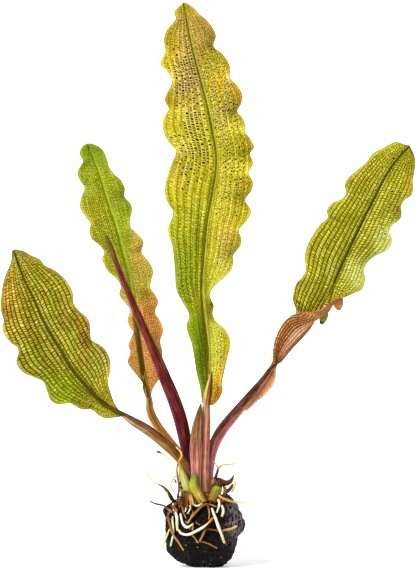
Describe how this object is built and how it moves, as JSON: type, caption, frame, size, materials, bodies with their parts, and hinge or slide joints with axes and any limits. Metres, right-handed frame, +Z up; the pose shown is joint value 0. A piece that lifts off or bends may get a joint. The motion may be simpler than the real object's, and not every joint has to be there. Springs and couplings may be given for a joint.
{
  "type": "madagascar lace plant",
  "caption": "Aquarium plant lifted whole: ruffled, net-veined leaf blades on slim stalks rise from a dark tuber with pale roots, standing on its flat foot.",
  "frame": {"origin": "middle of the flat foot that the tuber stands on", "axes": "+Z up along the tall leaf, +X to the right as seen from the front, +Y away from the front"},
  "size_m": [0.1643, 0.0525, 0.2254],
  "materials": {
    "tall_leaf": "satin",
    "left_leaf": "satin",
    "back_leaf": "satin",
    "right_leaf": "satin",
    "brown_stalk": "satin",
    "pink_stalk": "satin",
    "gold_stalk": "satin",
    "maroon": "satin",
    "sheath": "satin",
    "pale_sheath": "satin",
    "green_sheath": "satin",
    "dry_scale": "matte",
    "crown": "matte",
    "tuber": "matte",
    "white_root": "satin",
    "brown_root": "matte",
    "orange_root": "satin",
    "pale_root": "satin",
    "yellow_root": "satin",
    "hair_root": "satin"
  },
  "bodies": {
    "root": {"back_leaf_blade": "back_leaf", "back_leaf_stalk": "gold_stalk", "brown_root_1": "brown_root", "brown_root_10": "brown_root", "brown_root_2": "brown_root", "brown_root_3": "brown_root", "brown_root_4": "brown_root", "brown_root_5": "brown_root", "brown_root_6": "brown_root", "brown_root_7": "brown_root", "brown_root_8": "brown_root", "brown_root_9": "brown_root", "crown": "crown", "dark_tipped_stub": "green_sheath", "dry_scale_back": "dry_scale", "dry_scale_left": "dry_scale", "dry_scale_right": "dry_scale", "green_sheath_stub": "green_sheath", "hair_root_1": "hair_root", "hair_root_2": "hair_root", "hair_root_3": "hair_root", "hair_root_4": "hair_root", "hair_root_5": "hair_root", "left_leaf_blade": "left_leaf", "left_leaf_stalk": "brown_stalk", "orange_root_1": "orange_root", "orange_root_2": "orange_root", "pale_root_1": "pale_root", "pale_sheath_stub": "pale_sheath", "right_leaf_blade": "right_leaf", "right_leaf_stalk": "brown_stalk", "rolled_young_leaf": "maroon", "sheath_leaf": "sheath", "tall_leaf_blade": "tall_leaf", "tall_leaf_stalk": "pink_stalk", "tuber": "tuber", "white_root_1": "white_root", "white_root_10": "white_root", "white_root_11": "white_root", "white_root_2": "white_root", "white_root_3": "white_root", "white_root_4": "white_root", "white_root_5": "white_root", "white_root_6": "white_root", "white_root_7": "white_root", "white_root_8": "white_root", "white_root_9": "white_root", "yellow_root_1": "yellow_root"}
  },
  "joints": []
}
